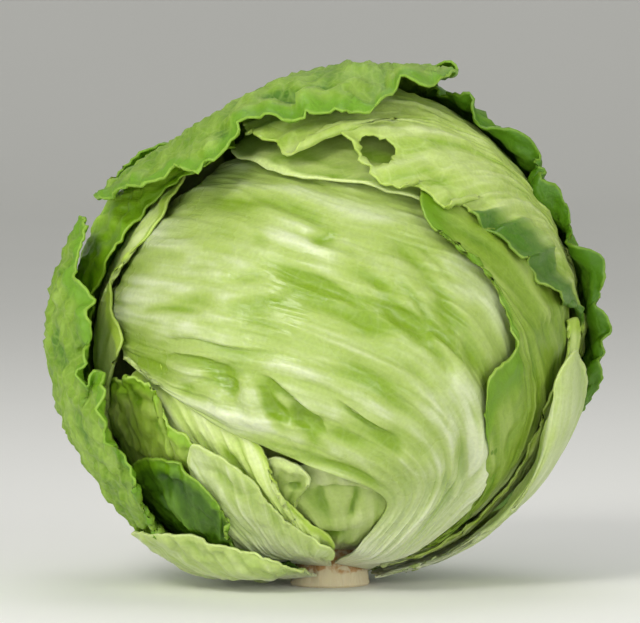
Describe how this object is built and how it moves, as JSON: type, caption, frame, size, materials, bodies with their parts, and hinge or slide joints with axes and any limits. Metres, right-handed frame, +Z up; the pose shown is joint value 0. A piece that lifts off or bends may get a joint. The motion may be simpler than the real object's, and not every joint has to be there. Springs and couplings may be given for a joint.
{
  "type": "iceberg lettuce head",
  "caption": "Round iceberg lettuce head standing on its cut stem: overlapping waved leaves with frilled edges wrap a dense pale heart.",
  "frame": {"origin": "centre of the stem's flat cut face, on which the head stands", "axes": "+Z up along the stem's axis, -Y to the front seen in the picture, +X to the viewer's right"},
  "size_m": [0.171, 0.1514, 0.1584],
  "materials": {
    "stem": "cut plant stem, tan, dull and fibrous",
    "heart": "tight pale yellow inner leaves, moist satin",
    "pale_leaf": "pale leaf with whitish ribs, moist satin",
    "fresh_leaf": "yellow-green leaf with paler veins, moist satin",
    "green_leaf": "outer green leaf, blistered, soft sheen"
  },
  "bodies": {
    "root": {"stem": "stem", "heart": "heart", "under_leaf": "fresh_leaf", "heart_leaf_right": "pale_leaf", "heart_leaf_left": "pale_leaf", "front_wrap": "pale_leaf", "crown_under_leaf": "fresh_leaf", "left_inner_leaf": "fresh_leaf", "left_wrap": "fresh_leaf", "right_wrap": "fresh_leaf", "left_rib_leaf": "pale_leaf", "right_slip_leaf": "green_leaf", "left_green_leaf": "green_leaf", "top_right_leaf": "fresh_leaf", "left_back_leaf": "green_leaf", "right_rib_leaf": "pale_leaf", "left_outer_leaf": "green_leaf", "right_outer_leaf": "green_leaf", "bottom_left_rib": "pale_leaf", "top_outer_leaf": "green_leaf"}
  },
  "joints": []
}
